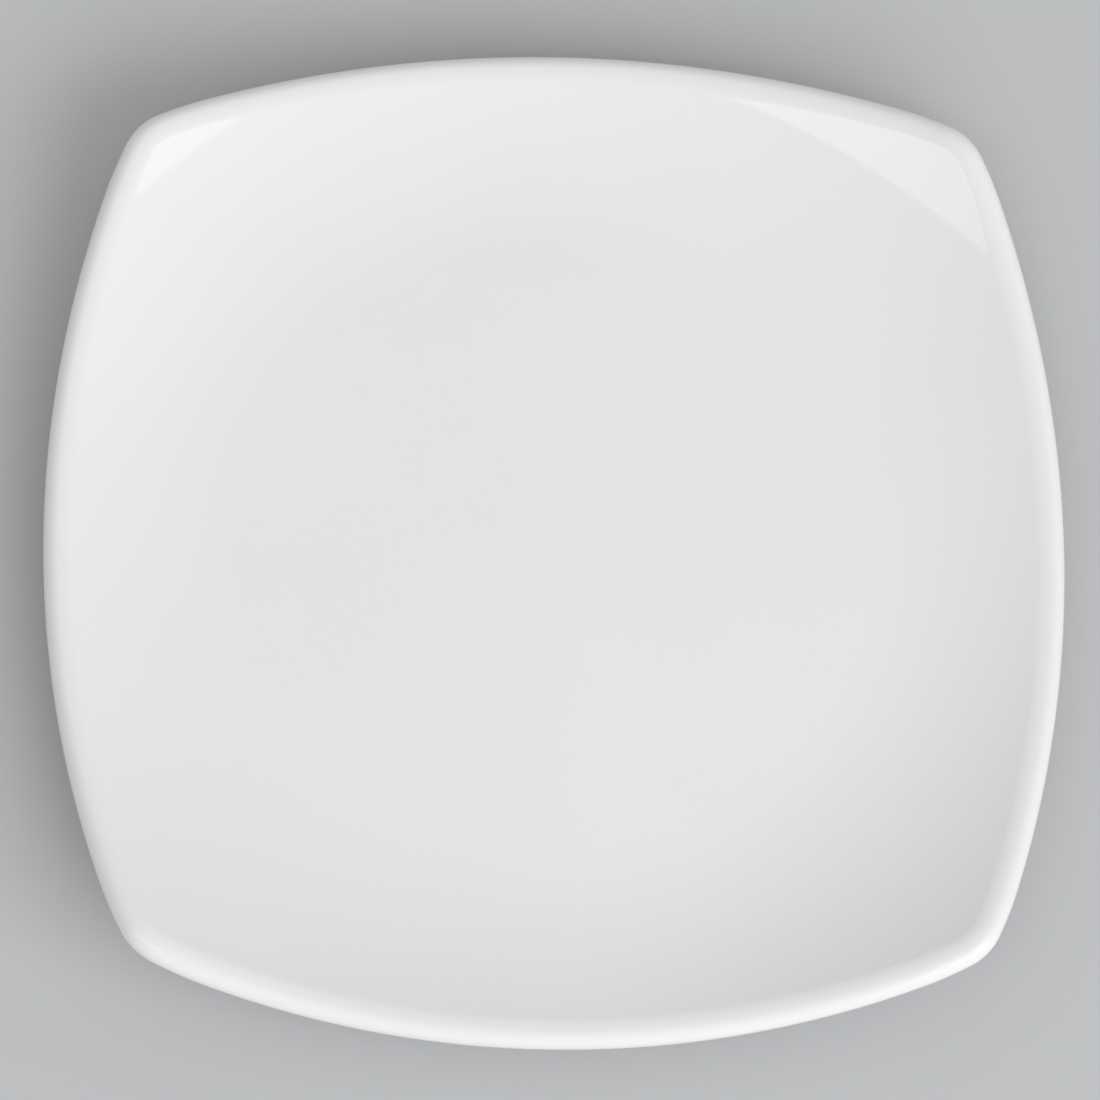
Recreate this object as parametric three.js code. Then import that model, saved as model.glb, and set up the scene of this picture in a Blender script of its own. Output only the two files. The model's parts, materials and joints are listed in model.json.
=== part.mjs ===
// A square porcelain plate with bowed sides, round corners and a shallow dish that is highest at the corners.
// It is three bodies: the fired clay, the glaze over its face and back, and the glaze inside its foot ring.
// Millimetres, +Z up. The origin is the middle of the foot's standing face, and the sides face X and Y.
import * as THREE from "three";

// Outline, seen from above: four bowed sides, eased by a tighter arc at each end into the round corners.
const PLATE_WIDTH = 165; // between the middles of opposite sides
const SIDE_RADIUS = 176;
const EASING_RADIUS = 68;
const EASING_DEGREES = 7.3; // how far an easing arc turns
const CORNER_RADIUS = 10.7;

// Dish: a flat round well, and a wall that leaves it as an arc and is cut off by the outline.
const RIM_WIDTH = 31.5; // from the middle of a side in to the well
const SWEEP_RADIUS = 90;
const FLOOR_THICKNESS = 5;

// Lip: the wall eases over a shoulder to the crest, then turns under in a round nose.
const SHOULDER_WIDTH = 2.4; // from the end of the wall out to the crest
const LIP_RADIUS = 2.4;

// Foot: a ring under the edge of the well.
const FOOT_INSET = 3; // from the edge of the well in to the ring
const FOOT_WIDTH = 5.5;
const FOOT_HEIGHT = 3.4;
const FOOT_ROOT_RADIUS = 1.5;
const FOOT_EDGE = 0.6; // eased edges of the standing face

// Glaze: a thin coat, wiped off the foot so that it does not stick in the kiln.
const GLAZE_THICKNESS = 0.25;
const BARE_HEIGHT = 1; // from the standing face up to the glaze line

// Number of facets along each stretch.
const SIDE_STEPS = 10;
const EASING_STEPS = 1;
const CORNER_STEPS = 4;
const WALL_STEPS = 4;
const SHOULDER_STEPS = 3;
const NOSE_STEPS = 7;
const ROOT_STEPS = 3;

// Sizes that follow from those above.
const HALF_WIDTH = PLATE_WIDTH / 2;
const WELL_RADIUS = HALF_WIDTH - RIM_WIDTH;
const FLOOR_TOP = FOOT_HEIGHT + FLOOR_THICKNESS;
const FOOT_OUTER = WELL_RADIUS - FOOT_INSET;
const FOOT_INNER = FOOT_OUTER - FOOT_WIDTH;

const RIGHT_ANGLE = Math.PI / 2;
const HALF_TURN = Math.PI;

// One place on the outline, on an arc about a centre. Going in from the edge moves it towards that centre.
class Station {
  constructor(centre, radius, angle) {
    this.centre = centre;
    this.radius = radius;
    this.outward = new THREE.Vector2(Math.cos(angle), Math.sin(angle));
  }

  inFromEdge(distance) {
    return this.centre.clone().addScaledVector(this.outward, this.radius - distance);
  }
}

// The stations of one arc, without its last one, which begins the next arc.
function arcStations(centre, radius, start, end, steps, turn) {
  const turned = centre.clone().rotateAround(new THREE.Vector2(), turn);
  const stations = [];
  for (let step = 0; step < steps; step++) {
    const angle = THREE.MathUtils.lerp(start, end, step / steps) + turn;
    stations.push(new Station(turned, radius, angle));
  }
  return stations;
}

// The whole outline, anticlockwise from above. Each arc begins where the last one ends, in line with it.
function outlineStations() {
  const easingTurn = THREE.MathUtils.degToRad(EASING_DEGREES);
  const axis = new THREE.Vector2();

  // From the side's centre to the corner's, by way of the easing arc's, for a side that ends facing +X.
  const toEasing = new THREE.Vector2(SIDE_RADIUS - EASING_RADIUS, 0);
  const toCorner = new THREE.Vector2(EASING_RADIUS - CORNER_RADIUS, 0);
  toCorner.rotateAround(axis, easingTurn).add(toEasing);

  // The side's centre is on the X axis and the corner's on the diagonal, which settles where the side ends.
  const side = new THREE.Vector2(HALF_WIDTH - SIDE_RADIUS, 0);
  const cornerAlong = (side.x + Math.sqrt(2 * toCorner.lengthSq() - side.x ** 2)) / 2;
  const corner = new THREE.Vector2(cornerAlong, cornerAlong);
  const sideEnd = corner.clone().sub(side).angle() - toCorner.angle();
  const easingEnd = sideEnd + easingTurn;
  const easing = toEasing.rotateAround(axis, sideEnd).add(side);
  const easingBefore = new THREE.Vector2(easing.x, -easing.y);

  const arcs = [
    [easingBefore, EASING_RADIUS, -easingEnd, -sideEnd, EASING_STEPS],
    [side, SIDE_RADIUS, -sideEnd, sideEnd, SIDE_STEPS],
    [easing, EASING_RADIUS, sideEnd, easingEnd, EASING_STEPS],
    [corner, CORNER_RADIUS, easingEnd, RIGHT_ANGLE - easingEnd, CORNER_STEPS],
  ];
  const stations = [];
  for (let quarter = 0; quarter < 4; quarter++) {
    for (const arc of arcs) {
      stations.push(...arcStations(...arc, quarter * RIGHT_ANGLE));
    }
  }
  return stations;
}

// The wall's climb at a distance from the plate's axis: its angle to the level, and its height over the well.
function sweepAngle(distance) {
  return Math.asin((distance - WELL_RADIUS) / SWEEP_RADIUS);
}

function sweepHeight(distance) {
  return SWEEP_RADIUS * (1 - Math.cos(sweepAngle(distance)));
}

// A point on the plate's skin: where the glaze's outside is, and where the clay lies under it.
// The skin there leans from straight up towards the direction by the tilt.
function skinPoint(place, height, direction, tilt) {
  const normal = new THREE.Vector3(
    direction.x * Math.sin(tilt),
    direction.y * Math.sin(tilt),
    Math.cos(tilt),
  );
  const coat = new THREE.Vector3(place.x, place.y, height);
  const clay = coat.clone().addScaledVector(normal, -GLAZE_THICKNESS);
  return { coat, clay };
}

// Where the wall ends and the shoulder begins at a station, and the wall's slope there, square to the edge.
function wallEnd(station) {
  const place = station.inFromEdge(LIP_RADIUS + SHOULDER_WIDTH);
  const rise = Math.tan(sweepAngle(place.length()));
  const slope = Math.atan(rise * place.clone().normalize().dot(station.outward));
  return { place, slope };
}

// The outer skin at a station, from the edge of the well over the lip and under to the foot's glaze line.
function outerSection(station) {
  const { place, slope } = wallEnd(station);
  const radial = place.clone().normalize();
  const wallLength = place.length();
  const shoulderRadius = SHOULDER_WIDTH / Math.sin(slope);
  const shoulderRise = shoulderRadius * (1 - Math.cos(slope));
  const crest = FLOOR_TOP + sweepHeight(wallLength) + shoulderRise;
  const lipThickness = shoulderRise + LIP_RADIUS * (1 + Math.cos(slope));
  const onRadius = (distance) => radial.clone().multiplyScalar(distance);
  const points = [];

  for (let step = 0; step <= WALL_STEPS; step++) {
    const distance = THREE.MathUtils.lerp(WELL_RADIUS, wallLength, step / WALL_STEPS);
    const height = FLOOR_TOP + sweepHeight(distance);
    points.push(skinPoint(onRadius(distance), height, radial, -sweepAngle(distance)));
  }
  for (let step = 1; step <= SHOULDER_STEPS; step++) {
    const angle = slope * (1 - step / SHOULDER_STEPS);
    const inset = LIP_RADIUS + shoulderRadius * Math.sin(angle);
    const height = crest - shoulderRadius * (1 - Math.cos(angle));
    points.push(skinPoint(station.inFromEdge(inset), height, station.outward, -angle));
  }
  for (let step = 1; step <= NOSE_STEPS; step++) {
    const angle = ((HALF_TURN - slope) * step) / NOSE_STEPS;
    const inset = LIP_RADIUS * (1 - Math.sin(angle));
    const height = crest - LIP_RADIUS * (1 - Math.cos(angle));
    points.push(skinPoint(station.inFromEdge(inset), height, station.outward, angle));
  }
  for (let step = WALL_STEPS; step >= 0; step--) {
    const share = step / WALL_STEPS;
    const above = THREE.MathUtils.lerp(WELL_RADIUS, wallLength, share);
    const thickness = THREE.MathUtils.lerp(FLOOR_THICKNESS, lipThickness, share);
    const angle = sweepAngle(above);
    const distance = above + thickness * Math.sin(angle);
    const height = FLOOR_TOP + sweepHeight(above) - thickness * Math.cos(angle);
    points.push(skinPoint(onRadius(distance), height, radial, HALF_TURN - angle));
  }
  for (let step = 0; step <= ROOT_STEPS; step++) {
    const angle = (RIGHT_ANGLE * step) / ROOT_STEPS;
    const distance = FOOT_OUTER + FOOT_ROOT_RADIUS * (1 - Math.sin(angle));
    const height = FOOT_HEIGHT - FOOT_ROOT_RADIUS * (1 - Math.cos(angle));
    points.push(skinPoint(onRadius(distance), height, radial, HALF_TURN - angle));
  }
  points.push(skinPoint(onRadius(FOOT_OUTER), BARE_HEIGHT, radial, RIGHT_ANGLE));
  return points;
}

// The bare clay of the foot at a station, across its standing face from the outer glaze line to the inner.
function footSection(station) {
  const radial = wallEnd(station).place.normalize();
  const outside = FOOT_OUTER - GLAZE_THICKNESS;
  const inside = FOOT_INNER + GLAZE_THICKNESS;
  const corners = [
    [outside, FOOT_EDGE],
    [outside - FOOT_EDGE, 0],
    [inside + FOOT_EDGE, 0],
    [inside, FOOT_EDGE],
  ];
  return corners.map(([distance, height]) => ({
    clay: new THREE.Vector3(radial.x * distance, radial.y * distance, height),
  }));
}

// The skin inside the foot ring at a station, from the inner glaze line up to the flat of the recess.
function recessSection(station) {
  const radial = wallEnd(station).place.normalize();
  const onRadius = (distance) => radial.clone().multiplyScalar(distance);
  const points = [skinPoint(onRadius(FOOT_INNER), BARE_HEIGHT, radial, -RIGHT_ANGLE)];
  for (let step = ROOT_STEPS; step >= 0; step--) {
    const angle = (RIGHT_ANGLE * step) / ROOT_STEPS;
    const distance = FOOT_INNER - FOOT_ROOT_RADIUS * (1 - Math.sin(angle));
    const height = FOOT_HEIGHT - FOOT_ROOT_RADIUS * (1 - Math.cos(angle));
    points.push(skinPoint(onRadius(distance), height, radial, angle - HALF_TURN));
  }
  return points;
}

// Turns one section per station into loops round the plate, on the glaze's outside or on the clay.
function loopsOf(sections, layer) {
  return sections[0].map((_, row) => sections.map((section) => section[row][layer]));
}

// A closed body between an upper and a lower point on the plate's axis, through loops that run anticlockwise.
// A four-sided facet is split along its shorter diagonal, so two bodies that share it split it alike.
function loft(upper, loops, lower) {
  const count = loops[0].length;
  const vertices = [upper, ...loops.flat(), lower];
  const last = vertices.length - 1;
  const faces = [];
  for (let column = 0; column < count; column++) {
    const next = (column + 1) % count;
    faces.push(0, 1 + column, 1 + next);
    for (let row = 0; row + 1 < loops.length; row++) {
      const here = 1 + row * count;
      const beyond = here + count;
      const [a, b, c, d] = [here + column, beyond + column, beyond + next, here + next];
      if (vertices[a].distanceTo(vertices[c]) < vertices[b].distanceTo(vertices[d])) {
        faces.push(a, b, c, a, c, d);
      } else {
        faces.push(a, b, d, b, c, d);
      }
    }
    const end = last - count;
    faces.push(end + column, last, end + next);
  }
  const geometry = new THREE.BufferGeometry().setFromPoints(vertices);
  geometry.setIndex(faces);
  geometry.computeVertexNormals();
  return geometry;
}

const onAxis = (height) => new THREE.Vector3(0, 0, height);

const stations = outlineStations();
const outer = stations.map(outerSection);
const foot = stations.map(footSection);
const recess = stations.map(recessSection);

const wellCoat = onAxis(FLOOR_TOP);
const wellClay = onAxis(FLOOR_TOP - GLAZE_THICKNESS);
const recessCoat = onAxis(FOOT_HEIGHT);
const recessClay = onAxis(FOOT_HEIGHT + GLAZE_THICKNESS);

// The fired clay, pressed in one piece with its foot ring. Only the foot's standing face is left bare.
function biscuitBody() {
  const loops = [...loopsOf(outer, "clay"), ...loopsOf(foot, "clay"), ...loopsOf(recess, "clay")];
  const material = new THREE.MeshStandardMaterial({ color: 0xe6e0d4, roughness: 0.8, metalness: 0 });
  const mesh = new THREE.Mesh(loft(wellClay, loops, recessClay), material);
  mesh.name = "biscuit_body";
  return mesh;
}

// Both coats of glaze share one colour and gloss.
function glazeMesh(name, geometry) {
  const material = new THREE.MeshStandardMaterial({ color: 0xf1f0ee, roughness: 0.08, metalness: 0 });
  const mesh = new THREE.Mesh(geometry, material);
  mesh.name = name;
  return mesh;
}

// The coat that runs over the well, the wall, the lip and the back, down to the foot's outer glaze line.
function outerGlaze() {
  const loops = [...loopsOf(outer, "coat"), ...loopsOf(outer, "clay").reverse()];
  return glazeMesh("outer_glaze", loft(wellCoat, loops, wellClay));
}

// The coat inside the foot ring, cut off from the other one by the bare foot.
function recessGlaze() {
  const loops = [...loopsOf(recess, "clay").reverse(), ...loopsOf(recess, "coat")];
  return glazeMesh("recess_glaze", loft(recessClay, loops, recessCoat));
}

const plate = new THREE.Group();
plate.add(biscuitBody(), outerGlaze(), recessGlaze());

export default plate;
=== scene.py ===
# A square plate of white glazed porcelain, in metres, with its four sides facing X and Y.
# It is dressed in the order that a pottery makes it: the pressed clay, the glaze over its face and back,
# and the glaze inside its foot ring.
import json
import math

import bpy
from mathutils import Matrix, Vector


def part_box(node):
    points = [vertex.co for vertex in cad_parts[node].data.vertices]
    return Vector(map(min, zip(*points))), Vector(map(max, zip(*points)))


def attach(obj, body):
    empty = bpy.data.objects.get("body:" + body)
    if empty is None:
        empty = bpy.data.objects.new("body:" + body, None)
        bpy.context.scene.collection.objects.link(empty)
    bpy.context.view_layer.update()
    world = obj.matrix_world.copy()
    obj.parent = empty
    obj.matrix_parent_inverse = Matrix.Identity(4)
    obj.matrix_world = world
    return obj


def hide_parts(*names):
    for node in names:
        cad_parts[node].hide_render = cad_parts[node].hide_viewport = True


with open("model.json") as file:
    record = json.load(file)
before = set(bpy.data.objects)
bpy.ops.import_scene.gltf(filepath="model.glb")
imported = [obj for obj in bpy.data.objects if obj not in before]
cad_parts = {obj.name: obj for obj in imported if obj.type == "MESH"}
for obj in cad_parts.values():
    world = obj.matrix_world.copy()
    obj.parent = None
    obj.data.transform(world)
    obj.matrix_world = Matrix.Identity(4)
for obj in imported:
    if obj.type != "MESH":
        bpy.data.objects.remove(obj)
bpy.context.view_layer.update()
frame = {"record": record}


# The fired clay body
# Porcelain clay, pressed in one piece with its foot ring and fired. Glaze hides all of it but the standing
# face of the foot, which is wiped clean before the glaze firing so that it does not stick to the kiln.
MM = 0.001
RIGHT_ANGLE = math.radians(90)
HALF_TURN = math.radians(180)

glaze_low, glaze_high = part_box("outer_glaze")
well_floor = next(mount for mount in frame["record"]["mounts"] if mount["name"] == "well_floor")
well_height = well_floor["pos_m"][2]
floor_thickness = 5 * MM

PLATE_SIZES = {
    "Plate Width": glaze_high.x - glaze_low.x,
    "Side Radius": 176 * MM,
    "Easing Radius": 68 * MM,
    "Easing Turn": math.radians(7.3),
    "Corner Radius": 10.7 * MM,
    "Rim Width": 31.5 * MM,
    "Sweep Radius": 90 * MM,
    "Floor Thickness": floor_thickness,
    "Shoulder Width": 2.4 * MM,
    "Lip Radius": 2.4 * MM,
    "Foot Inset": 3 * MM,
    "Foot Width": 5.5 * MM,
    "Foot Height": well_height - floor_thickness,
    "Foot Root Radius": 1.5 * MM,
    "Foot Edge Radius": 0.85 * MM,
    "Glaze Thickness": 0.25 * MM,
    "Bare Height": glaze_low.z,
    "Glaze Line Wander": 0.5 * MM,
}

# Facets round the plate, of a side, of the two arcs that ease it and of a corner.
SIDE_COLUMNS = 60
EASING_COLUMNS = 12
CORNER_COLUMNS = 24
QUARTER_COLUMNS = SIDE_COLUMNS + EASING_COLUMNS + CORNER_COLUMNS

# Facets along each stretch of its section.
WELL_ROWS = 6
WALL_ROWS = 30
SHOULDER_ROWS = 18
NOSE_ROWS = 24
BACK_ROWS = 14
ARC_ROWS = 6
STRAIGHT_ROWS = 2
WALL_CROWDING = 1.5
MERGE_DISTANCE = 0.005 * MM

WANDERS_PER_RADIAN = 5


def add_node(tree, kind, inputs=(), **settings):
    """Adds a node with its settings. Its inputs, in order or by name, are values, nodes or sockets."""
    node = tree.nodes.new(kind)
    for name, setting in settings.items():
        setattr(node, name, setting)
    pairs = inputs.items() if isinstance(inputs, dict) else enumerate(inputs)
    for key, given in pairs:
        values = given if isinstance(given, list) else [given]
        for value in values:
            if isinstance(value, bpy.types.Node):
                value = value.outputs[0]
            if isinstance(value, bpy.types.NodeSocket):
                tree.links.new(value, node.inputs[key])
            else:
                node.inputs[key].default_value = value
    return node


def start_tree(name):
    """A tree with a named input for each size of the plate, and those sizes with more that follow."""
    tree = bpy.data.node_groups.new(name, "GeometryNodeTree")
    tree.interface.new_socket(name="Geometry", in_out="OUTPUT", socket_type="NodeSocketGeometry")
    for size_name in PLATE_SIZES:
        tree.interface.new_socket(name=size_name, in_out="INPUT", socket_type="NodeSocketFloat")
    tree.interface.new_socket(name="Material", in_out="INPUT", socket_type="NodeSocketMaterial")
    size = dict(add_node(tree, "NodeGroupInput").outputs.items())
    for size_name, operation, first, second in (
        ("Half Width", "MULTIPLY", "Plate Width", 0.5),
        ("Half Coat", "MULTIPLY", "Glaze Thickness", 0.5),
        ("Clay Depth", "MULTIPLY", "Glaze Thickness", -1),
        ("Well Radius", "SUBTRACT", "Half Width", "Rim Width"),
        ("Wall Inset", "ADD", "Lip Radius", "Shoulder Width"),
        ("Floor Top", "ADD", "Foot Height", "Floor Thickness"),
        ("Foot Outer", "SUBTRACT", "Well Radius", "Foot Inset"),
        ("Foot Inner", "SUBTRACT", "Foot Outer", "Foot Width"),
        ("Outer Root", "ADD", "Foot Outer", "Foot Root Radius"),
        ("Inner Root", "SUBTRACT", "Foot Inner", "Foot Root Radius"),
        ("Root Height", "SUBTRACT", "Foot Height", "Foot Root Radius"),
        ("Outer Edge", "SUBTRACT", "Foot Outer", "Foot Edge Radius"),
        ("Inner Edge", "ADD", "Foot Inner", "Foot Edge Radius"),
        ("Edge Height", "SUBTRACT", "Foot Edge Radius", "Glaze Thickness"),
        ("Outer Bead", "SUBTRACT", "Foot Outer", "Half Coat"),
        ("Inner Bead", "ADD", "Foot Inner", "Half Coat"),
        ("Bead Height", "ADD", "Bare Height", "Half Coat"),
    ):
        terms = (size[first], size.get(second, second))
        size[size_name] = add_node(tree, "ShaderNodeMath", terms, operation=operation)
    return tree, size


def in_from_edge(tree, station, inset, height):
    """A place at an inset from the plate's edge, measured square to the edge."""
    reach = add_node(tree, "ShaderNodeMath", (station["edge radius"], inset), operation="SUBTRACT")
    ahead = {0: station["outward"], "Scale": reach}
    ahead = add_node(tree, "ShaderNodeVectorMath", ahead, operation="SCALE")
    centre = add_node(tree, "ShaderNodeCombineXYZ", (station["centre x"], station["centre y"], height))
    return add_node(tree, "ShaderNodeVectorMath", (centre, ahead), operation="ADD")


def at_radius(tree, station, distance, height):
    """A place at a distance from the plate's axis, in the direction in which the wall ends."""
    ahead = {0: station["radial"], "Scale": distance}
    ahead = add_node(tree, "ShaderNodeVectorMath", ahead, operation="SCALE")
    lift = add_node(tree, "ShaderNodeCombineXYZ", (0, 0, height))
    return add_node(tree, "ShaderNodeVectorMath", (lift, ahead), operation="ADD")


def add_climb(tree, size, distance):
    """The wall's angle to the level and its height, at a distance from the plate's axis."""
    beyond = add_node(tree, "ShaderNodeMath", (distance, size["Well Radius"]), operation="SUBTRACT")
    share = add_node(tree, "ShaderNodeMath", (beyond, size["Sweep Radius"]), operation="DIVIDE")
    angle = add_node(tree, "ShaderNodeMath", (share,), operation="ARCSINE")
    level = add_node(tree, "ShaderNodeMath", (angle,), operation="COSINE")
    rise = add_node(tree, "ShaderNodeMath", (1, level), operation="SUBTRACT")
    climb = (rise, size["Sweep Radius"], size["Floor Top"])
    return angle, add_node(tree, "ShaderNodeMath", climb, operation="MULTIPLY_ADD")


def add_stations(tree, size):
    """For each point of a grid: its side, the arc of the edge that it faces and where its wall ends.
    Each side is laid out facing +X, with half a corner at either end, and is turned into place later."""
    position = add_node(tree, "GeometryNodeInputPosition")
    across = add_node(tree, "ShaderNodeSeparateXYZ", (position,))
    station = {"along": add_node(tree, "ShaderNodeMath", (across.outputs["Y"], 0.5), operation="ADD")}
    quarters = add_node(tree, "ShaderNodeMath", (across.outputs["X"], -4), operation="MULTIPLY")
    side = add_node(tree, "ShaderNodeMath", (quarters,), operation="ROUND")
    station["side turn"] = add_node(tree, "ShaderNodeMath", (side, RIGHT_ANGLE), operation="MULTIPLY")
    from_middle = add_node(tree, "ShaderNodeMath", (quarters, side), operation="SUBTRACT")
    hand = add_node(tree, "ShaderNodeMath", (from_middle,), operation="SIGN")
    how_far = add_node(tree, "ShaderNodeMath", (from_middle,), operation="ABSOLUTE")

    # The step from the side's centre to the corner's, past the easing arc's, if the side ended facing +X.
    to_easing = (size["Side Radius"], size["Easing Radius"])
    to_easing = add_node(tree, "ShaderNodeMath", to_easing, operation="SUBTRACT")
    onwards = (size["Easing Radius"], size["Corner Radius"])
    onwards = add_node(tree, "ShaderNodeMath", onwards, operation="SUBTRACT")
    level = add_node(tree, "ShaderNodeMath", (size["Easing Turn"],), operation="COSINE")
    ahead = add_node(tree, "ShaderNodeMath", (level, onwards, to_easing), operation="MULTIPLY_ADD")
    lean = add_node(tree, "ShaderNodeMath", (size["Easing Turn"],), operation="SINE")
    aside = add_node(tree, "ShaderNodeMath", (lean, onwards), operation="MULTIPLY")
    step_lead = add_node(tree, "ShaderNodeMath", (aside, ahead), operation="ARCTAN2")
    aside_squared = add_node(tree, "ShaderNodeMath", (aside, aside), operation="MULTIPLY")
    step_squared = (ahead, ahead, aside_squared)
    step_squared = add_node(tree, "ShaderNodeMath", step_squared, operation="MULTIPLY_ADD")

    # The side's centre is on the X axis and the corner's on the diagonal. That sets where the side ends.
    side_centre = (size["Half Width"], size["Side Radius"])
    side_centre = add_node(tree, "ShaderNodeMath", side_centre, operation="SUBTRACT")
    centre_squared = add_node(tree, "ShaderNodeMath", (side_centre, side_centre), operation="MULTIPLY")
    doubled = add_node(tree, "ShaderNodeMath", (step_squared, 2), operation="MULTIPLY")
    remainder = add_node(tree, "ShaderNodeMath", (doubled, centre_squared), operation="SUBTRACT")
    reach = add_node(tree, "ShaderNodeMath", (remainder,), operation="SQRT")
    both = add_node(tree, "ShaderNodeMath", (side_centre, reach), operation="ADD")
    corner_centre = add_node(tree, "ShaderNodeMath", (both, 0.5), operation="MULTIPLY")
    apart = add_node(tree, "ShaderNodeMath", (corner_centre, side_centre), operation="SUBTRACT")
    bearing = add_node(tree, "ShaderNodeMath", (corner_centre, apart), operation="ARCTAN2")
    side_swing = add_node(tree, "ShaderNodeMath", (bearing, step_lead), operation="SUBTRACT")
    eased_swing = add_node(tree, "ShaderNodeMath", (side_swing, size["Easing Turn"]), operation="ADD")
    corner_swing = add_node(tree, "ShaderNodeMath", (RIGHT_ANGLE / 2, eased_swing), operation="SUBTRACT")
    level = add_node(tree, "ShaderNodeMath", (side_swing,), operation="COSINE")
    easing_x = add_node(tree, "ShaderNodeMath", (level, to_easing, side_centre), operation="MULTIPLY_ADD")
    lean = add_node(tree, "ShaderNodeMath", (side_swing,), operation="SINE")
    easing_y = add_node(tree, "ShaderNodeMath", (lean, to_easing), operation="MULTIPLY")

    # The direction that the edge faces swings over the side's columns, the easing arc's and the corner's.
    side_end = SIDE_COLUMNS / QUARTER_COLUMNS / 2
    easing_end = (SIDE_COLUMNS + EASING_COLUMNS) / QUARTER_COLUMNS / 2
    swing = 0.0
    for start, end, turn in (
        (0.0, side_end, side_swing),
        (side_end, easing_end, size["Easing Turn"]),
        (easing_end, 0.5, corner_swing),
    ):
        share = {"Value": how_far, "From Min": start, "From Max": end, "To Max": turn}
        share = add_node(tree, "ShaderNodeMapRange", share)
        swing = add_node(tree, "ShaderNodeMath", (swing, share), operation="ADD")
    facing = add_node(tree, "ShaderNodeMath", (swing, hand), operation="MULTIPLY")
    ahead = add_node(tree, "ShaderNodeMath", (facing,), operation="COSINE")
    aside = add_node(tree, "ShaderNodeMath", (facing,), operation="SINE")
    station["outward"] = add_node(tree, "ShaderNodeCombineXYZ", (ahead, aside, 0))

    # Each place on the edge belongs to one of the three arcs.
    past_side = add_node(tree, "ShaderNodeMath", (how_far, side_end), operation="GREATER_THAN")
    past_easing = add_node(tree, "ShaderNodeMath", (how_far, easing_end), operation="GREATER_THAN")
    for name, for_side, for_easing, for_corner in (
        ("edge radius", size["Side Radius"], size["Easing Radius"], size["Corner Radius"]),
        ("centre x", side_centre, easing_x, corner_centre),
        ("centre y", 0.0, easing_y, corner_centre),
    ):
        choice = (past_side, for_side, for_easing)
        choice = add_node(tree, "GeometryNodeSwitch", choice, input_type="FLOAT")
        choice = (past_easing, choice, for_corner)
        station[name] = add_node(tree, "GeometryNodeSwitch", choice, input_type="FLOAT")
    centre_y = (station["centre y"], hand)
    station["centre y"] = add_node(tree, "ShaderNodeMath", centre_y, operation="MULTIPLY")

    # The wall ends at the shoulder, and its slope there, square to the edge, sets the shoulder's radius.
    wall_end = in_from_edge(tree, station, size["Wall Inset"], 0)
    station["radial"] = add_node(tree, "ShaderNodeVectorMath", (wall_end,), operation="NORMALIZE")
    length = add_node(tree, "ShaderNodeVectorMath", (wall_end,), operation="LENGTH")
    station["wall end"] = length.outputs["Value"]
    angle, wall_top = add_climb(tree, size, station["wall end"])
    steepest = add_node(tree, "ShaderNodeMath", (angle,), operation="TANGENT")
    turn = (station["radial"], station["outward"])
    turn = add_node(tree, "ShaderNodeVectorMath", turn, operation="DOT_PRODUCT")
    rise = add_node(tree, "ShaderNodeMath", (steepest, turn.outputs["Value"]), operation="MULTIPLY")
    slope = add_node(tree, "ShaderNodeMath", (rise,), operation="ARCTANGENT")
    lean = add_node(tree, "ShaderNodeMath", (slope,), operation="SINE")
    radius = add_node(tree, "ShaderNodeMath", (size["Shoulder Width"], lean), operation="DIVIDE")
    station["slope"] = slope
    station["shoulder radius"] = radius

    # The crest is the top of the lip. Its thickness is measured down from the wall's end.
    level = add_node(tree, "ShaderNodeMath", (slope,), operation="COSINE")
    eased = add_node(tree, "ShaderNodeMath", (1, level), operation="SUBTRACT")
    shoulder_rise = add_node(tree, "ShaderNodeMath", (eased, radius), operation="MULTIPLY")
    station["crest"] = add_node(tree, "ShaderNodeMath", (wall_top, shoulder_rise), operation="ADD")
    under = add_node(tree, "ShaderNodeMath", (1, level), operation="ADD")
    thickness = (under, size["Lip Radius"], shoulder_rise)
    station["lip thickness"] = add_node(tree, "ShaderNodeMath", thickness, operation="MULTIPLY_ADD")

    # The line to which the glaze was wiped off the foot wanders a little on its way round.
    around = {"Vector": station["radial"], "Angle": station["side turn"]}
    around = add_node(tree, "ShaderNodeVectorRotate", around, rotation_type="Z_AXIS")
    wander = {"Vector": around, "Scale": WANDERS_PER_RADIAN, "Detail": 1.0}
    wander = add_node(tree, "ShaderNodeTexNoise", wander)
    wander = add_node(tree, "ShaderNodeMath", (wander, 0.5), operation="SUBTRACT")
    line = (wander, size["Glaze Line Wander"], size["Bead Height"])
    station["glaze line"] = add_node(tree, "ShaderNodeMath", line, operation="MULTIPLY_ADD")
    return station


def add_stretch(tree, station, rows, place):
    """One stretch of the plate's skin: a grid with columns round the plate and rows along its section."""
    grid = (1, 1, 4 * QUARTER_COLUMNS + 1, rows + 1)
    grid = add_node(tree, "GeometryNodeMeshGrid", grid)
    turned = {"Vector": place, "Angle": station["side turn"]}
    turned = add_node(tree, "ShaderNodeVectorRotate", turned, rotation_type="Z_AXIS")
    return add_node(tree, "GeometryNodeSetPosition", {"Geometry": grid, "Position": turned})


def add_between(tree, station, first, last):
    """A value that goes evenly from the first to the last over a stretch."""
    values = {"Value": station["along"], "To Min": first, "To Max": last}
    return add_node(tree, "ShaderNodeMapRange", values)


def add_straight(tree, station, rows, start, end):
    """A stretch that is straight in section, from one distance and height to another."""
    section = [add_between(tree, station, first, last) for first, last in zip(start, end)]
    return add_stretch(tree, station, rows, at_radius(tree, station, *section))


def add_arc(tree, station, centre, radius, start, end):
    """A stretch that is an arc in section, about a centre given as distance and height."""
    angle = add_between(tree, station, start, end)
    section = []
    for middle, operation in zip(centre, ("COSINE", "SINE")):
        share = add_node(tree, "ShaderNodeMath", (angle,), operation=operation)
        section.append(add_node(tree, "ShaderNodeMath", (share, radius, middle), operation="MULTIPLY_ADD"))
    return add_stretch(tree, station, ARC_ROWS, at_radius(tree, station, *section))


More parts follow.
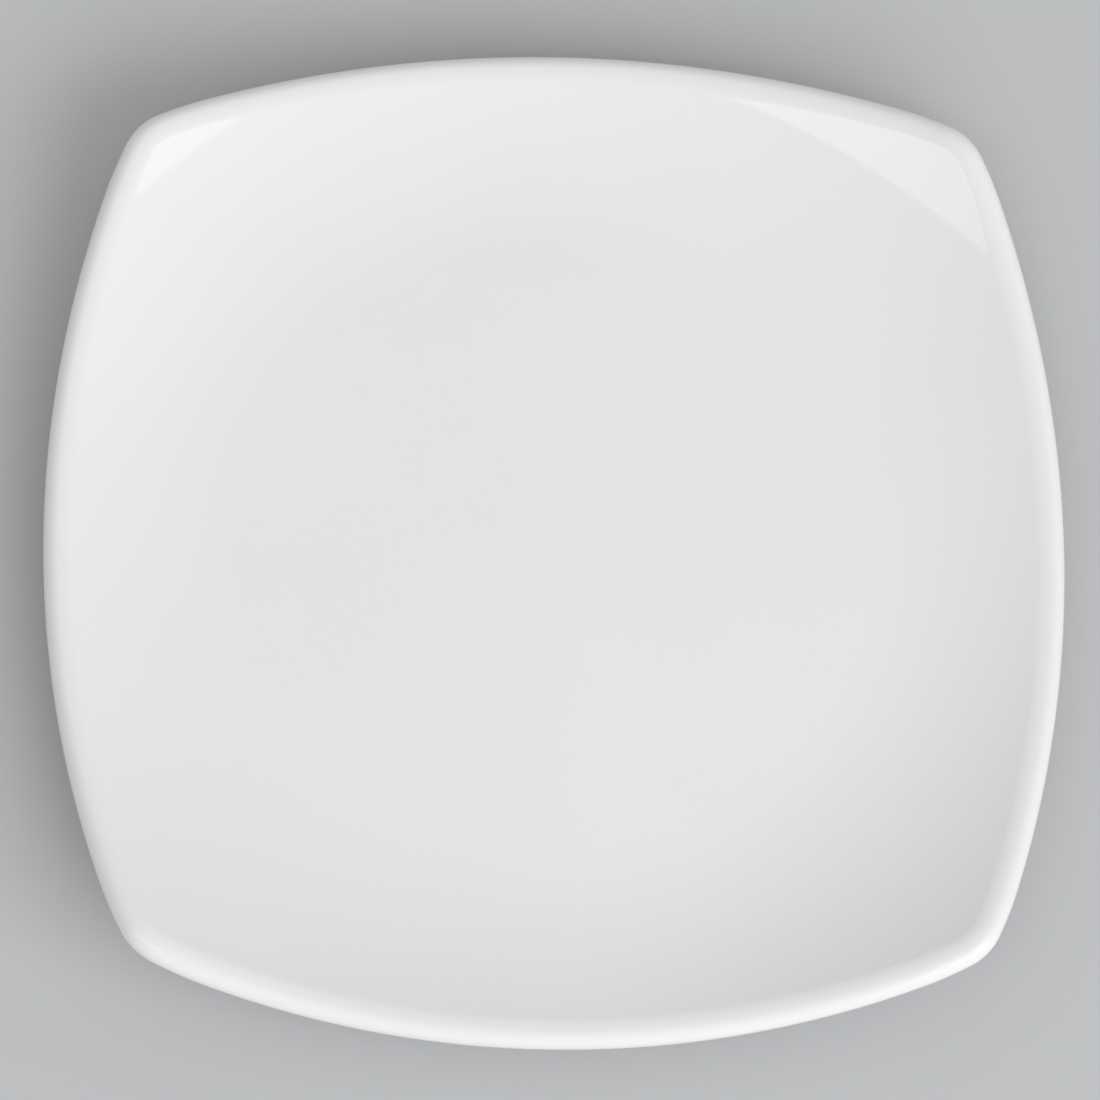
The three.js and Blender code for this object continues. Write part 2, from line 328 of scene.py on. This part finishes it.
def lip_place(tree, size, station, radius, lean):
    """A place on an arc that passes over the crest of the lip, by how far its skin leans outwards there."""
    across = add_node(tree, "ShaderNodeMath", (lean,), operation="SINE")
    across = add_node(tree, "ShaderNodeMath", (across, radius), operation="MULTIPLY")
    inset = add_node(tree, "ShaderNodeMath", (size["Lip Radius"], across), operation="SUBTRACT")
    level = add_node(tree, "ShaderNodeMath", (lean,), operation="COSINE")
    below = add_node(tree, "ShaderNodeMath", (level, 1), operation="SUBTRACT")
    height = add_node(tree, "ShaderNodeMath", (below, radius, station["crest"]), operation="MULTIPLY_ADD")
    return in_from_edge(tree, station, inset, height)


def back_place(tree, size, station, share):
    """A place on the back, square below the wall, by the share of the wall that lies inside it."""
    values = {"Value": share, "To Min": size["Well Radius"], "To Max": station["wall end"]}
    above = add_node(tree, "ShaderNodeMapRange", values)
    values = {"Value": share, "To Min": size["Floor Thickness"], "To Max": station["lip thickness"]}
    thickness = add_node(tree, "ShaderNodeMapRange", values)
    angle, wall_height = add_climb(tree, size, above)
    lean = add_node(tree, "ShaderNodeMath", (angle,), operation="SINE")
    distance = add_node(tree, "ShaderNodeMath", (lean, thickness, above), operation="MULTIPLY_ADD")
    level = add_node(tree, "ShaderNodeMath", (angle,), operation="COSINE")
    below = add_node(tree, "ShaderNodeMath", (level, thickness), operation="MULTIPLY")
    height = add_node(tree, "ShaderNodeMath", (wall_height, below), operation="SUBTRACT")
    return at_radius(tree, station, distance, height)


def face_and_back(tree, size, station, side_end):
    """The skin from the middle of the well over the lip, and under to a height on the foot's outside."""
    middle = (0.0, size["Floor Top"])
    well_edge = (size["Well Radius"], size["Floor Top"])
    well = add_straight(tree, station, WELL_ROWS, middle, well_edge)

    # The wall's rows crowd towards the lip, where the skin turns from hollow to round.
    left = add_between(tree, station, 1.0, 0.0)
    left = add_node(tree, "ShaderNodeMath", (left, WALL_CROWDING), operation="POWER")
    distance = {"Value": left, "To Min": station["wall end"], "To Max": size["Well Radius"]}
    distance = add_node(tree, "ShaderNodeMapRange", distance)
    _, height = add_climb(tree, size, distance)
    wall = add_stretch(tree, station, WALL_ROWS, at_radius(tree, station, distance, height))

    inwards = add_node(tree, "ShaderNodeMath", (station["slope"], -1), operation="MULTIPLY")
    lean = add_between(tree, station, inwards, 0.0)
    shoulder = lip_place(tree, size, station, station["shoulder radius"], lean)
    shoulder = add_stretch(tree, station, SHOULDER_ROWS, shoulder)

    under = add_node(tree, "ShaderNodeMath", (HALF_TURN, station["slope"]), operation="SUBTRACT")
    lean = add_between(tree, station, 0.0, under)
    nose = lip_place(tree, size, station, size["Lip Radius"], lean)
    nose = add_stretch(tree, station, NOSE_ROWS, nose)

    # A Mix node's sockets go by number: 0 for its factor, 4 and 5 for vectors, 6 and 7 for colours.
    nose_end = lip_place(tree, size, station, size["Lip Radius"], under)
    heel = {0: station["along"], 4: nose_end, 5: back_place(tree, size, station, 1.0)}
    heel = add_node(tree, "ShaderNodeMix", heel, data_type="VECTOR").outputs[1]
    heel = add_stretch(tree, station, STRAIGHT_ROWS, heel)

    share = add_between(tree, station, 1.0, 0.0)
    back = add_stretch(tree, station, BACK_ROWS, back_place(tree, size, station, share))

    under_well = (size["Well Radius"], size["Foot Height"])
    root_start = (size["Outer Root"], size["Foot Height"])
    flat = add_straight(tree, station, STRAIGHT_ROWS, under_well, root_start)
    root_centre = (size["Outer Root"], size["Root Height"])
    root = add_arc(tree, station, root_centre, size["Foot Root Radius"], RIGHT_ANGLE, HALF_TURN)
    root_end = (size["Foot Outer"], size["Root Height"])
    side = add_straight(tree, station, STRAIGHT_ROWS, root_end, (size["Foot Outer"], side_end))
    return [well, wall, shoulder, nose, heel, back, flat, root, side]


def standing_face(tree, size, station):
    """The skin under the foot, round its outer edge, across its face and round its inner edge."""
    radius = size["Foot Edge Radius"]
    outer_centre = (size["Outer Edge"], size["Edge Height"])
    inner_centre = (size["Inner Edge"], size["Edge Height"])
    outer_edge = add_arc(tree, station, outer_centre, radius, 0.0, -RIGHT_ANGLE)
    inner_edge = add_arc(tree, station, inner_centre, radius, -RIGHT_ANGLE, -HALF_TURN)
    face_start = (size["Outer Edge"], size["Clay Depth"])
    face_end = (size["Inner Edge"], size["Clay Depth"])
    face = add_straight(tree, station, STRAIGHT_ROWS, face_start, face_end)
    return [outer_edge, face, inner_edge]


def recess(tree, size, station, side_start):
    """The skin inside the foot, from a height on its inside up to the ceiling and in to the axis."""
    root_start = (size["Foot Inner"], size["Root Height"])
    side = add_straight(tree, station, STRAIGHT_ROWS, (size["Foot Inner"], side_start), root_start)
    root_centre = (size["Inner Root"], size["Root Height"])
    root = add_arc(tree, station, root_centre, size["Foot Root Radius"], 0.0, RIGHT_ANGLE)
    ceiling_edge = (size["Inner Root"], size["Foot Height"])
    ceiling = add_straight(tree, station, WELL_ROWS, ceiling_edge, (0.0, size["Foot Height"]))
    return [side, root, ceiling]


def merged(tree, stretches):
    """Stretches joined along their shared edges."""
    joined = add_node(tree, "GeometryNodeJoinGeometry", (stretches,))
    return add_node(tree, "GeometryNodeMergeByDistance", {"Geometry": joined, "Distance": MERGE_DISTANCE})


def shrunk(tree, size, skin):
    """The skin moved in by the thickness of the glaze, to where the clay is."""
    normal = add_node(tree, "GeometryNodeInputNormal")
    inwards = {0: normal, "Scale": size["Clay Depth"]}
    inwards = add_node(tree, "ShaderNodeVectorMath", inwards, operation="SCALE")
    return add_node(tree, "GeometryNodeSetPosition", {"Geometry": skin, "Offset": inwards})


def make_piece(name, tree, size, geometry, material):
    """Ends the tree and turns what it makes into a plain mesh, with the material on it."""
    smooth = add_node(tree, "GeometryNodeSetShadeSmooth", {"Geometry": geometry})
    real = add_node(tree, "GeometryNodeRealizeInstances", (smooth,))
    painted = {"Geometry": real, "Material": size["Material"]}
    painted = add_node(tree, "GeometryNodeSetMaterial", painted)
    add_node(tree, "NodeGroupOutput", (painted,))

    piece = bpy.data.objects.new(name, bpy.data.meshes.new(name))
    bpy.context.scene.collection.objects.link(piece)
    modifier = piece.modifiers.new(tree.name, "NODES")
    modifier.node_group = tree
    for socket in tree.interface.items_tree:
        if socket.in_out == "INPUT":
            modifier[socket.identifier] = PLATE_SIZES.get(socket.name, material)
    evaluated = piece.evaluated_get(bpy.context.evaluated_depsgraph_get())
    mesh = bpy.data.meshes.new_from_object(evaluated)
    piece.modifiers.clear()
    piece.data = mesh
    return piece


def linear(hex_colour):
    """An sRGB hex colour as a linear one with full alpha."""
    channels = []
    for start in (1, 3, 5):
        share = int(hex_colour[start:start + 2], 16) / 255
        channels.append(share / 12.92 if share <= 0.04045 else ((share + 0.055) / 1.055) ** 2.4)
    return (*channels, 1.0)


def start_material(name):
    """A material with an empty tree, and that tree."""
    material = bpy.data.materials.new(name)
    material.use_nodes = True
    material.node_tree.nodes.clear()
    return material, material.node_tree


# Noise mostly keeps within this range.
NOISE_RANGE = {"From Min": 0.3, "From Max": 0.7}


def biscuit_porcelain():
    """Unglazed fired porcelain: warm, matt and finely gritty, and rubbed grey where it slides."""
    grit_size = 0.35 * MM
    mottle_size = 6 * MM
    rub_size = 2.5 * MM
    rub_height = 0.25 * MM
    grit_depth = 0.03 * MM
    material, tree = start_material("biscuit_porcelain")
    place = add_node(tree, "ShaderNodeTexCoord").outputs["Object"]
    grit = {"Vector": place, "Scale": 1 / grit_size, "Detail": 3.0, "Roughness": 0.6}
    grit = add_node(tree, "ShaderNodeTexNoise", grit)
    mottle = {"Vector": place, "Scale": 1 / mottle_size, "Detail": 4.0}
    mottle = add_node(tree, "ShaderNodeTexNoise", mottle)
    rub = {"Vector": place, "Scale": 1 / rub_size, "Detail": 6.0}
    rub = add_node(tree, "ShaderNodeTexNoise", rub)

    shade = add_node(tree, "ShaderNodeMapRange", {"Value": mottle, **NOISE_RANGE})
    clay = {0: shade, 6: linear("#DED6C8"), 7: linear("#EAE4D8")}
    clay = add_node(tree, "ShaderNodeMix", clay, data_type="RGBA").outputs[2]
    height = add_node(tree, "ShaderNodeSeparateXYZ", (place,)).outputs["Z"]
    standing = {"Value": height, "From Min": rub_height, "From Max": 0.0}
    standing = add_node(tree, "ShaderNodeMapRange", standing)
    worn = {"Value": rub, "From Min": 0.48, "From Max": 0.68, "To Max": 0.55}
    worn = add_node(tree, "ShaderNodeMapRange", worn)
    worn = add_node(tree, "ShaderNodeMath", (worn, standing), operation="MULTIPLY")
    colour = {0: worn, 6: clay, 7: linear("#B7B1A8")}
    colour = add_node(tree, "ShaderNodeMix", colour, data_type="RGBA").outputs[2]
    roughness = add_node(tree, "ShaderNodeMapRange", {"Value": worn, "To Min": 0.82, "To Max": 0.6})
    bump = add_node(tree, "ShaderNodeBump", {"Height": grit, "Distance": grit_depth, "Strength": 0.6})
    surface = {"Base Color": colour, "Roughness": roughness, "Normal": bump, "IOR": 1.5}
    surface = add_node(tree, "ShaderNodeBsdfPrincipled", surface)
    add_node(tree, "ShaderNodeOutputMaterial", (surface,))
    return material


clay_tree, size = start_tree("pressed clay")
station = add_stations(clay_tree, size)
skin = face_and_back(clay_tree, size, station, size["Edge Height"])
skin += standing_face(clay_tree, size, station)
skin += recess(clay_tree, size, station, size["Edge Height"])
skin = shrunk(clay_tree, size, merged(clay_tree, skin))
clay_body = make_piece("clay_body", clay_tree, size, skin, biscuit_porcelain())
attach(clay_body, "root")
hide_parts("biscuit_body")


# The outer glaze
# Clear glossy glaze, fired on to the white clay after dipping. It covers the well, the wall, the lip and
# the back, and ends in a soft bead on the outside of the foot, where the foot was wiped.
def glazed_porcelain():
    """White porcelain under clear glaze: glossy as glass, with the faint waves of glaze that has run."""
    wave_size = 7 * MM
    wave_depth = 0.004 * MM
    ripple_size = 1.8 * MM
    ripple_depth = 0.0006 * MM
    cloud_size = 45 * MM
    material, tree = start_material("glazed_porcelain")
    place = add_node(tree, "ShaderNodeTexCoord").outputs["Object"]
    waves = {"Vector": place, "Scale": 1 / wave_size, "Detail": 0.0}
    waves = add_node(tree, "ShaderNodeTexNoise", waves)
    ripples = {"Vector": place, "Scale": 1 / ripple_size, "Detail": 1.0}
    ripples = add_node(tree, "ShaderNodeTexNoise", ripples)
    clouds = {"Vector": place, "Scale": 1 / cloud_size, "Detail": 2.0}
    clouds = add_node(tree, "ShaderNodeTexNoise", clouds)

    shade = add_node(tree, "ShaderNodeMapRange", {"Value": clouds, **NOISE_RANGE})
    white = {0: shade, 6: linear("#EDECEC"), 7: linear("#EFEDED")}
    white = add_node(tree, "ShaderNodeMix", white, data_type="RGBA").outputs[2]
    waved = {"Height": waves, "Distance": wave_depth, "Strength": 1.0}
    waved = add_node(tree, "ShaderNodeBump", waved)
    rippled = {"Height": ripples, "Distance": ripple_depth, "Strength": 1.0, "Normal": waved}
    rippled = add_node(tree, "ShaderNodeBump", rippled)
    roughness = {"Value": waves, **NOISE_RANGE, "To Min": 0.04, "To Max": 0.065}
    roughness = add_node(tree, "ShaderNodeMapRange", roughness)
    surface = {"Base Color": white, "Roughness": roughness, "IOR": 1.5, "Normal": rippled}
    surface = add_node(tree, "ShaderNodeBsdfPrincipled", surface)
    add_node(tree, "ShaderNodeOutputMaterial", (surface,))
    return material


def add_coat(tree, size, stretches, bead):
    """A closed coat: its outside, its inside on the clay, and the bead that joins them where it ends."""
    outside = merged(tree, stretches)
    inside = add_node(tree, "GeometryNodeFlipFaces", (shrunk(tree, size, outside),))
    return merged(tree, [outside, bead, inside])


glaze = glazed_porcelain()
outer_tree, size = start_tree("outer glaze")
station = add_stations(outer_tree, size)
skin = face_and_back(outer_tree, size, station, station["glaze line"])
bead_centre = (size["Outer Bead"], station["glaze line"])
bead = add_arc(outer_tree, station, bead_centre, size["Half Coat"], 0.0, -HALF_TURN)
coat = add_coat(outer_tree, size, skin, bead)
outer_glaze = make_piece("outer_glaze_coat", outer_tree, size, coat, glaze)
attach(outer_glaze, "root")
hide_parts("outer_glaze")


# The recess glaze
# The same glaze inside the foot ring, over the ceiling of the recess and the inner side of the foot.
# The bare foot cuts it off from the outer coat.
recess_tree, size = start_tree("recess glaze")
station = add_stations(recess_tree, size)
skin = recess(recess_tree, size, station, station["glaze line"])
bead_centre = (size["Inner Bead"], station["glaze line"])
bead = add_arc(recess_tree, station, bead_centre, size["Half Coat"], 0.0, -HALF_TURN)
coat = add_coat(recess_tree, size, skin, bead)
recess_glaze = make_piece("recess_glaze_coat", recess_tree, size, coat, glaze)
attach(recess_glaze, "root")
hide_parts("recess_glaze")


# The floor
# A plain pale grey card, laid flat under the plate. It isn't part of the plate.
FLOOR_SIZE = 6.0


def grey_card():
    """Matt card: even, with no shine."""
    material, tree = start_material("grey_card")
    surface = {"Base Color": linear("#C4C6C8"), "Roughness": 0.9, "Specular IOR Level": 0.2}
    surface = add_node(tree, "ShaderNodeBsdfPrincipled", surface)
    add_node(tree, "ShaderNodeOutputMaterial", (surface,))
    return material


floor_mesh = bpy.data.meshes.new("floor")
reach = FLOOR_SIZE / 2
floor_corners = [(-reach, -reach, 0), (reach, -reach, 0), (reach, reach, 0), (-reach, reach, 0)]
floor_mesh.from_pydata(floor_corners, [], [(0, 1, 2, 3)])
floor_mesh.materials.append(grey_card())
floor = bpy.data.objects.new("floor", floor_mesh)
bpy.context.scene.collection.objects.link(floor)


# The light
# Two soft boxes on the viewer's side of a pale room, a large one to the right and a small one to the left.
# A raised corner of the plate mirrors the top edge of each. A wide lamp behind the large one gives the dish
# its slow shading, and the glaze doesn't mirror it.
def aimed(turn, elevation, roll, distance, target):
    """The place of a lamp or camera that looks at a target, from a bearing to the right of -Y."""
    swing = Matrix.Rotation(math.radians(turn), 4, "Z")
    tilt = Matrix.Rotation(math.radians(90 - elevation), 4, "X")
    spin = Matrix.Rotation(math.radians(roll), 4, "Z")
    return Matrix.Translation(target) @ swing @ tilt @ spin @ Matrix.Translation((0, 0, distance))


def add_soft_box(name, turn, elevation, roll, distance, width, height, radiance, mirrored=True):
    """A soft box of a width, a height and a brightness, turned to the plate and mirrored in it or not."""
    lamp = bpy.data.lights.new(name, "AREA")
    lamp.shape = "RECTANGLE"
    lamp.size = width
    lamp.size_y = height
    lamp.energy = math.pi * radiance * width * height
    soft_box = bpy.data.objects.new(name, lamp)
    bpy.context.scene.collection.objects.link(soft_box)
    soft_box.matrix_world = aimed(turn, elevation, roll, distance, (0, 0, 0))
    soft_box.visible_glossy = mirrored


add_soft_box(
    "wide_lamp", turn=36.7, elevation=32.8, roll=0, distance=3.0,
    width=4.50, height=1.53, radiance=1.84, mirrored=False,
)
add_soft_box(
    "right_box", turn=45.6, elevation=38.2, roll=-16.8, distance=2.5,
    width=2.24, height=1.90, radiance=1.34,
)
add_soft_box(
    "left_box", turn=-41.5, elevation=65.5, roll=20.1, distance=2.5,
    width=1.29, height=0.49, radiance=1.66,
)

ROOM_BRIGHTNESS = 0.559
world = bpy.data.worlds.new("pale_room")
world.use_nodes = True
background = world.node_tree.nodes["Background"]
background.inputs["Color"].default_value = linear("#FFFFFF")
background.inputs["Strength"].default_value = ROOM_BRIGHTNESS
bpy.context.scene.world = world
bpy.context.scene.view_settings.view_transform = "Standard"


# The camera
# A long lens, high over the plate's near side, rolled so that the plate stands square in the frame.
CAMERA_TURN = -16.207
CAMERA_ELEVATION = 75.017
CAMERA_ROLL = 16.269
CAMERA_DISTANCE = 1.1284
AIM_HEIGHT = 9.9 * MM
SENSOR_WIDTH = 36
LENS_OVER_SENSOR = 6.3613

# How far the plate stands from the middle of the frame, and how wide the frame is, in pixels.
PHOTO_WIDTH = 1100
RIGHT_OF_MIDDLE = 6.09
ABOVE_MIDDLE = 4.41

lens = bpy.data.cameras.new("camera")
lens.sensor_width = SENSOR_WIDTH
lens.lens = SENSOR_WIDTH * LENS_OVER_SENSOR
lens.shift_x = -RIGHT_OF_MIDDLE / PHOTO_WIDTH
lens.shift_y = -ABOVE_MIDDLE / PHOTO_WIDTH
camera = bpy.data.objects.new("camera", lens)
bpy.context.scene.collection.objects.link(camera)
aim = (0, 0, AIM_HEIGHT)
camera.matrix_world = aimed(CAMERA_TURN, CAMERA_ELEVATION, CAMERA_ROLL, CAMERA_DISTANCE, aim)
bpy.context.scene.camera = camera
